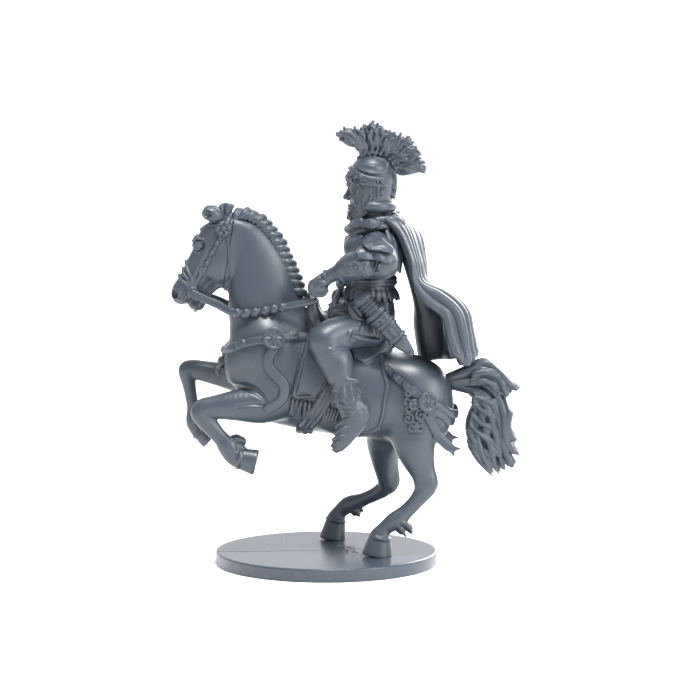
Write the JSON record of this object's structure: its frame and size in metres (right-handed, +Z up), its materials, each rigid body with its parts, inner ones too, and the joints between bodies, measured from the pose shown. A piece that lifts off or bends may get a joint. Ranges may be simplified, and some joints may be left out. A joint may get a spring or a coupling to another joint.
{
  "type": "mounted miniature figure",
  "caption": "Bare plastic miniature of a cloaked general in a crested helmet on a rearing, harnessed horse, standing on a round base.",
  "frame": {"origin": "centre of the base's flat underside", "axes": "+Z up, the horse faces -X and its left side is -Y"},
  "size_m": [0.0384, 0.025, 0.0501],
  "materials": {
    "grey_plastic": "satin"
  },
  "bodies": {
    "root": {"base": "grey_plastic", "horse_left_half": "grey_plastic", "horse_right_half": "grey_plastic", "horse_head": "grey_plastic", "horse_mane": "grey_plastic", "horse_tail": "grey_plastic", "saddle_cloth": "grey_plastic", "saddle_tassels": "grey_plastic", "girth": "grey_plastic", "saddle": "grey_plastic", "breast_strap": "grey_plastic", "drop_straps": "grey_plastic", "crupper_strap": "grey_plastic", "breast_discs": "grey_plastic", "rump_discs": "grey_plastic", "bridle": "grey_plastic", "rein_left": "grey_plastic", "rein_right": "grey_plastic", "rider_lower_body": "grey_plastic", "rider_torso": "grey_plastic", "belt": "grey_plastic", "tunic_skirt": "grey_plastic", "rider_left_arm": "grey_plastic", "rider_right_arm": "grey_plastic", "shoulder_guard_left": "grey_plastic", "shoulder_guard_right": "grey_plastic", "rider_head": "grey_plastic", "helmet": "grey_plastic", "helmet_plume": "grey_plastic", "cloak": "grey_plastic", "cloak_collar": "grey_plastic", "scabbard": "grey_plastic", "sword_hilt": "grey_plastic"}
  },
  "joints": []
}
